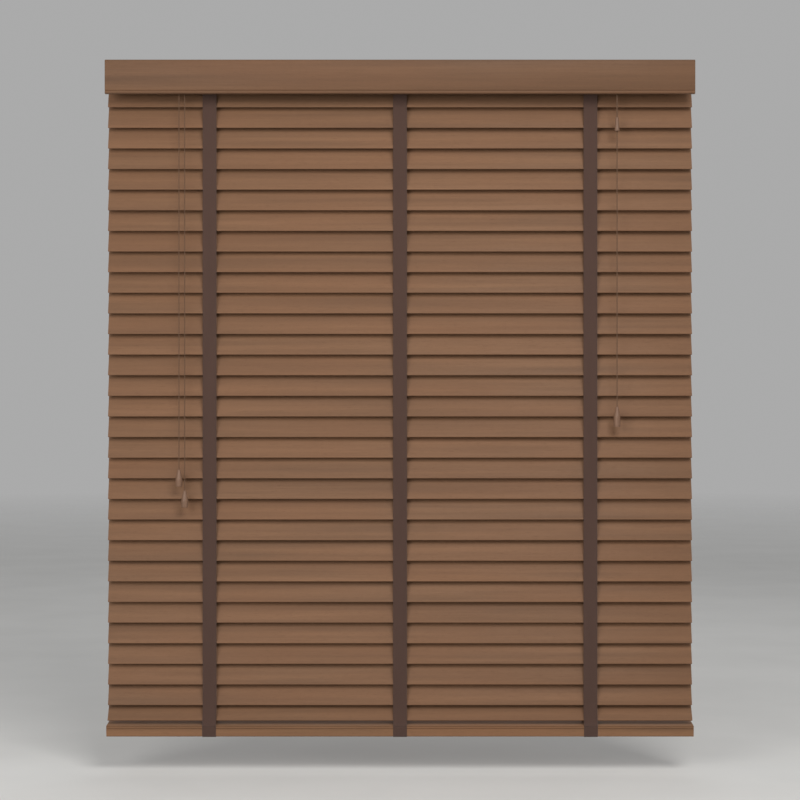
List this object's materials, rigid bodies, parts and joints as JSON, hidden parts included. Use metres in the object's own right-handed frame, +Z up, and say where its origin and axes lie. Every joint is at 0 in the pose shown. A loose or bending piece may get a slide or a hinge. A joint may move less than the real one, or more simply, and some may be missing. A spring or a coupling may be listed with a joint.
{
  "type": "venetian blind",
  "caption": "Venetian blind with wide wood slats on cloth ladder tapes, a moulded valance, a cord tilter and a cord lift.",
  "frame": {"origin": "middle of the plane of the two end brackets' top faces, which are screwed up against a soffit", "axes": "+X to the right as seen from the room, -Y towards the room, +Z up"},
  "size_m": [1.203, 0.0755, 1.3848],
  "materials": {
    "stained_wood": "satin stained and lacquered, faint long grain",
    "ladder_tape": "woven cotton tape",
    "braided_cord": "braided polyester cord",
    "tassel_wood": "turned and lacquered",
    "painted_steel": "baked enamel, satin",
    "rod_steel": "zinc plated",
    "moulded_plastic": "moulded, matt"
  },
  "bodies": {
    "headrail": {"headrail": "painted_steel", "valance": "stained_wood", "bracket_left": "painted_steel", "bracket_right": "painted_steel", "tilter_housing": "moulded_plastic", "cord_lock": "moulded_plastic", "lift_cords": "braided_cord"},
    "tilt_rod": {"tilt_rod": "rod_steel", "tilt_drum_left": "moulded_plastic", "tilt_drum_center": "moulded_plastic", "tilt_drum_right": "moulded_plastic"},
    "tilter_pulley": {"tilter_pulley": "moulded_plastic"},
    "tilt_pull_left": {"tilt_cord_left": "braided_cord", "tilt_tassel_left": "tassel_wood"},
    "tilt_pull_right": {"tilt_cord_right": "braided_cord", "tilt_tassel_right": "tassel_wood"},
    "front_tapes": {"front_tape_left": "ladder_tape", "front_tape_center": "ladder_tape", "front_tape_right": "ladder_tape"},
    "back_tapes": {"back_tape_left": "ladder_tape", "back_tape_center": "ladder_tape", "back_tape_right": "ladder_tape"},
    "bottom_rail": {"bottom_rail": "stained_wood"},
    "rung_29": {"ladder_rung_29": "ladder_tape"},
    "rung_30": {"ladder_rung_30": "ladder_tape"},
    "rung_31": {"ladder_rung_31": "ladder_tape"},
    "pull": {"cord_connector": "tassel_wood", "pull_cord": "braided_cord", "pull_tassel": "tassel_wood"},
    "slat_01": {"slat_01": "stained_wood"},
    "slat_02": {"slat_02": "stained_wood"},
    "slat_03": {"slat_03": "stained_wood"},
    "slat_04": {"slat_04": "stained_wood"},
    "slat_05": {"slat_05": "stained_wood"},
    "slat_06": {"slat_06": "stained_wood"},
    "slat_07": {"slat_07": "stained_wood"},
    "slat_08": {"slat_08": "stained_wood"},
    "slat_09": {"slat_09": "stained_wood"},
    "slat_10": {"slat_10": "stained_wood"},
    "slat_11": {"slat_11": "stained_wood"},
    "slat_12": {"slat_12": "stained_wood"},
    "slat_13": {"slat_13": "stained_wood"},
    "slat_14": {"slat_14": "stained_wood"},
    "slat_15": {"slat_15": "stained_wood"},
    "slat_16": {"slat_16": "stained_wood"},
    "slat_17": {"slat_17": "stained_wood"},
    "slat_18": {"slat_18": "stained_wood"},
    "slat_19": {"slat_19": "stained_wood"},
    "slat_20": {"slat_20": "stained_wood"},
    "slat_21": {"slat_21": "stained_wood"},
    "slat_22": {"slat_22": "stained_wood"},
    "slat_23": {"slat_23": "stained_wood"},
    "slat_24": {"slat_24": "stained_wood"},
    "slat_25": {"slat_25": "stained_wood"},
    "slat_26": {"slat_26": "stained_wood"},
    "slat_27": {"slat_27": "stained_wood"},
    "slat_28": {"slat_28": "stained_wood"},
    "slat_29": {"slat_29": "stained_wood"},
    "slat_30": {"slat_30": "stained_wood"},
    "slat_31": {"slat_31": "stained_wood"}
  },
  "joints": [
    {"name": "tilt", "type": "hinge", "parent": "headrail", "child": "tilt_rod", "pos_m": [0, 0, -0.02], "axis": [-1, 0, 0], "range_deg": [0, 192]},
    {"name": "slat_01_tilt", "type": "hinge", "parent": "headrail", "child": "slat_01", "pos_m": [0, 0, -0.069], "axis": [-1, 0, 0], "range_deg": [0, 140]},
    {"name": "slat_02_tilt", "type": "hinge", "parent": "headrail", "child": "slat_02", "pos_m": [0, 0, -0.11137], "axis": [-1, 0, 0], "range_deg": [0, 140]},
    {"name": "slat_03_tilt", "type": "hinge", "parent": "headrail", "child": "slat_03", "pos_m": [0, 0, -0.15374], "axis": [-1, 0, 0], "range_deg": [0, 140]},
    {"name": "slat_04_tilt", "type": "hinge", "parent": "headrail", "child": "slat_04", "pos_m": [0, 0, -0.19611], "axis": [-1, 0, 0], "range_deg": [0, 140]},
    {"name": "slat_05_tilt", "type": "hinge", "parent": "headrail", "child": "slat_05", "pos_m": [0, 0, -0.23848], "axis": [-1, 0, 0], "range_deg": [0, 140]},
    {"name": "slat_06_tilt", "type": "hinge", "parent": "headrail", "child": "slat_06", "pos_m": [0, 0, -0.28085], "axis": [-1, 0, 0], "range_deg": [0, 140]},
    {"name": "slat_07_tilt", "type": "hinge", "parent": "headrail", "child": "slat_07", "pos_m": [0, 0, -0.32322], "axis": [-1, 0, 0], "range_deg": [0, 140]},
    {"name": "slat_08_tilt", "type": "hinge", "parent": "headrail", "child": "slat_08", "pos_m": [0, 0, -0.36559], "axis": [-1, 0, 0], "range_deg": [0, 140]},
    {"name": "slat_09_tilt", "type": "hinge", "parent": "headrail", "child": "slat_09", "pos_m": [0, 0, -0.40796], "axis": [-1, 0, 0], "range_deg": [0, 140]},
    {"name": "slat_10_tilt", "type": "hinge", "parent": "headrail", "child": "slat_10", "pos_m": [0, 0, -0.45033], "axis": [-1, 0, 0], "range_deg": [0, 140]},
    {"name": "slat_11_tilt", "type": "hinge", "parent": "headrail", "child": "slat_11", "pos_m": [0, 0, -0.4927], "axis": [-1, 0, 0], "range_deg": [0, 140]},
    {"name": "slat_12_tilt", "type": "hinge", "parent": "headrail", "child": "slat_12", "pos_m": [0, 0, -0.53507], "axis": [-1, 0, 0], "range_deg": [0, 140]},
    {"name": "slat_13_tilt", "type": "hinge", "parent": "headrail", "child": "slat_13", "pos_m": [0, 0, -0.57744], "axis": [-1, 0, 0], "range_deg": [0, 140]},
    {"name": "slat_14_tilt", "type": "hinge", "parent": "headrail", "child": "slat_14", "pos_m": [0, 0, -0.61981], "axis": [-1, 0, 0], "range_deg": [0, 140]},
    {"name": "slat_15_tilt", "type": "hinge", "parent": "headrail", "child": "slat_15", "pos_m": [0, 0, -0.66218], "axis": [-1, 0, 0], "range_deg": [0, 140]},
    {"name": "slat_16_tilt", "type": "hinge", "parent": "headrail", "child": "slat_16", "pos_m": [0, 0, -0.70455], "axis": [-1, 0, 0], "range_deg": [0, 140]},
    {"name": "slat_17_tilt", "type": "hinge", "parent": "headrail", "child": "slat_17", "pos_m": [0, 0, -0.74692], "axis": [-1, 0, 0], "range_deg": [0, 140]},
    {"name": "slat_18_tilt", "type": "hinge", "parent": "headrail", "child": "slat_18", "pos_m": [0, 0, -0.78929], "axis": [-1, 0, 0], "range_deg": [0, 140]},
    {"name": "slat_19_tilt", "type": "hinge", "parent": "headrail", "child": "slat_19", "pos_m": [0, 0, -0.83166], "axis": [-1, 0, 0], "range_deg": [0, 140]},
    {"name": "slat_20_tilt", "type": "hinge", "parent": "headrail", "child": "slat_20", "pos_m": [0, 0, -0.87403], "axis": [-1, 0, 0], "range_deg": [0, 140]},
    {"name": "slat_21_tilt", "type": "hinge", "parent": "headrail", "child": "slat_21", "pos_m": [0, 0, -0.9164], "axis": [-1, 0, 0], "range_deg": [0, 140]},
    {"name": "slat_22_tilt", "type": "hinge", "parent": "headrail", "child": "slat_22", "pos_m": [0, 0, -0.95877], "axis": [-1, 0, 0], "range_deg": [0, 140]},
    {"name": "slat_23_tilt", "type": "hinge", "parent": "headrail", "child": "slat_23", "pos_m": [0, 0, -1.00114], "axis": [-1, 0, 0], "range_deg": [0, 140]},
    {"name": "slat_24_tilt", "type": "hinge", "parent": "headrail", "child": "slat_24", "pos_m": [0, 0, -1.04351], "axis": [-1, 0, 0], "range_deg": [0, 140]},
    {"name": "slat_25_tilt", "type": "hinge", "parent": "headrail", "child": "slat_25", "pos_m": [0, 0, -1.08588], "axis": [-1, 0, 0], "range_deg": [0, 140]},
    {"name": "slat_26_tilt", "type": "hinge", "parent": "headrail", "child": "slat_26", "pos_m": [0, 0, -1.12825], "axis": [-1, 0, 0], "range_deg": [0, 140]},
    {"name": "slat_27_tilt", "type": "hinge", "parent": "headrail", "child": "slat_27", "pos_m": [0, 0, -1.17062], "axis": [-1, 0, 0], "range_deg": [0, 140]},
    {"name": "slat_28_tilt", "type": "hinge", "parent": "headrail", "child": "slat_28", "pos_m": [0, 0, -1.21299], "axis": [-1, 0, 0], "range_deg": [0, 140]},
    {"name": "slat_29_tilt", "type": "hinge", "parent": "rung_29", "child": "slat_29", "pos_m": [0, 0, -1.25536], "axis": [-1, 0, 0], "range_deg": [0, 140]},
    {"name": "slat_30_tilt", "type": "hinge", "parent": "rung_30", "child": "slat_30", "pos_m": [0, 0, -1.29773], "axis": [-1, 0, 0], "range_deg": [0, 140]},
    {"name": "slat_31_tilt", "type": "hinge", "parent": "rung_31", "child": "slat_31", "pos_m": [0, 0, -1.3321], "axis": [-1, 0, 0], "range_deg": [0, 122]},
    {"name": "front_tapes_swing", "type": "hinge", "parent": "slat_01", "child": "front_tapes", "pos_m": [0, -0.00855, -0.09249], "axis": [-1, 0, 0], "range_deg": [-140, 0], "deforming": ["front_tape_left", "front_tape_center", "front_tape_right"]},
    {"name": "back_tapes_swing", "type": "hinge", "parent": "slat_01", "child": "back_tapes", "pos_m": [0, 0.00855, -0.04551], "axis": [-1, 0, 0], "range_deg": [-140, 0], "deforming": ["back_tape_left", "back_tape_center", "back_tape_right"]},
    {"name": "tilter_pulley_spin", "type": "hinge", "parent": "headrail", "child": "tilter_pulley", "pos_m": [-0.4458, 0, -0.0319], "axis": [0, 1, 0], "range_deg": [0, 1344]},
    {"name": "tilt_pull_left_slide", "type": "slide", "parent": "headrail", "child": "tilt_pull_left", "axis": [0, 0, 1], "range_m": [0, 0.1375], "deforming": ["tilt_cord_left"]},
    {"name": "tilt_pull_right_slide", "type": "slide", "parent": "headrail", "child": "tilt_pull_right", "axis": [0, 0, -1], "range_m": [0, 0.1375], "deforming": ["tilt_cord_right"]},
    {"name": "lift", "type": "slide", "parent": "headrail", "child": "bottom_rail", "axis": [0, 0, 1], "range_m": [0, 0.079], "deforming": ["lift_cords"]},
    {"name": "rung_29_rise", "type": "slide", "parent": "headrail", "child": "rung_29", "axis": [0, 0, 1], "range_m": [0, 0.079], "deforming": ["ladder_rung_29"]},
    {"name": "rung_30_rise", "type": "slide", "parent": "headrail", "child": "rung_30", "axis": [0, 0, 1], "range_m": [0, 0.079], "deforming": ["ladder_rung_30"]},
    {"name": "rung_31_rise", "type": "slide", "parent": "headrail", "child": "rung_31", "axis": [0, 0, 1], "range_m": [0, 0.079], "deforming": ["ladder_rung_31"]},
    {"name": "pull_slide", "type": "slide", "parent": "headrail", "child": "pull", "axis": [0, 0, -1], "range_m": [0, 0.079]}
  ],
  "couplings": [
    {"joint": "slat_01_tilt", "follows": "tilt", "ratio": 0.729},
    {"joint": "slat_02_tilt", "follows": "tilt", "ratio": 0.729},
    {"joint": "slat_03_tilt", "follows": "tilt", "ratio": 0.729},
    {"joint": "slat_04_tilt", "follows": "tilt", "ratio": 0.729},
    {"joint": "slat_05_tilt", "follows": "tilt", "ratio": 0.729},
    {"joint": "slat_06_tilt", "follows": "tilt", "ratio": 0.729},
    {"joint": "slat_07_tilt", "follows": "tilt", "ratio": 0.729},
    {"joint": "slat_08_tilt", "follows": "tilt", "ratio": 0.729},
    {"joint": "slat_09_tilt", "follows": "tilt", "ratio": 0.729},
    {"joint": "slat_10_tilt", "follows": "tilt", "ratio": 0.729},
    {"joint": "slat_11_tilt", "follows": "tilt", "ratio": 0.729},
    {"joint": "slat_12_tilt", "follows": "tilt", "ratio": 0.729},
    {"joint": "slat_13_tilt", "follows": "tilt", "ratio": 0.729},
    {"joint": "slat_14_tilt", "follows": "tilt", "ratio": 0.729},
    {"joint": "slat_15_tilt", "follows": "tilt", "ratio": 0.729},
    {"joint": "slat_16_tilt", "follows": "tilt", "ratio": 0.729},
    {"joint": "slat_17_tilt", "follows": "tilt", "ratio": 0.729},
    {"joint": "slat_18_tilt", "follows": "tilt", "ratio": 0.729},
    {"joint": "slat_19_tilt", "follows": "tilt", "ratio": 0.729},
    {"joint": "slat_20_tilt", "follows": "tilt", "ratio": 0.729},
    {"joint": "slat_21_tilt", "follows": "tilt", "ratio": 0.729},
    {"joint": "slat_22_tilt", "follows": "tilt", "ratio": 0.729},
    {"joint": "slat_23_tilt", "follows": "tilt", "ratio": 0.729},
    {"joint": "slat_24_tilt", "follows": "tilt", "ratio": 0.729},
    {"joint": "slat_25_tilt", "follows": "tilt", "ratio": 0.729},
    {"joint": "slat_26_tilt", "follows": "tilt", "ratio": 0.729},
    {"joint": "slat_27_tilt", "follows": "tilt", "ratio": 0.729},
    {"joint": "slat_28_tilt", "follows": "tilt", "ratio": 0.729},
    {"joint": "slat_29_tilt", "follows": "tilt", "ratio": 0.729},
    {"joint": "slat_30_tilt", "follows": "tilt", "ratio": 0.729},
    {"joint": "slat_31_tilt", "follows": "tilt", "ratio": 0.635},
    {"joint": "front_tapes_swing", "follows": "tilt", "ratio": -0.729},
    {"joint": "back_tapes_swing", "follows": "tilt", "ratio": -0.729},
    {"joint": "tilter_pulley_spin", "follows": "tilt", "ratio": 7},
    {"joint": "tilt_pull_left_slide", "follows": "tilt", "m_per_rad": 0.04095},
    {"joint": "tilt_pull_right_slide", "follows": "tilt", "m_per_rad": 0.04095},
    {"joint": "rung_29_rise", "follows": "lift", "ratio": 0.396},
    {"joint": "rung_30_rise", "follows": "lift", "ratio": 0.792},
    {"joint": "rung_31_rise", "follows": "lift", "ratio": 0.985},
    {"joint": "pull_slide", "follows": "lift", "ratio": 1}
  ]
}
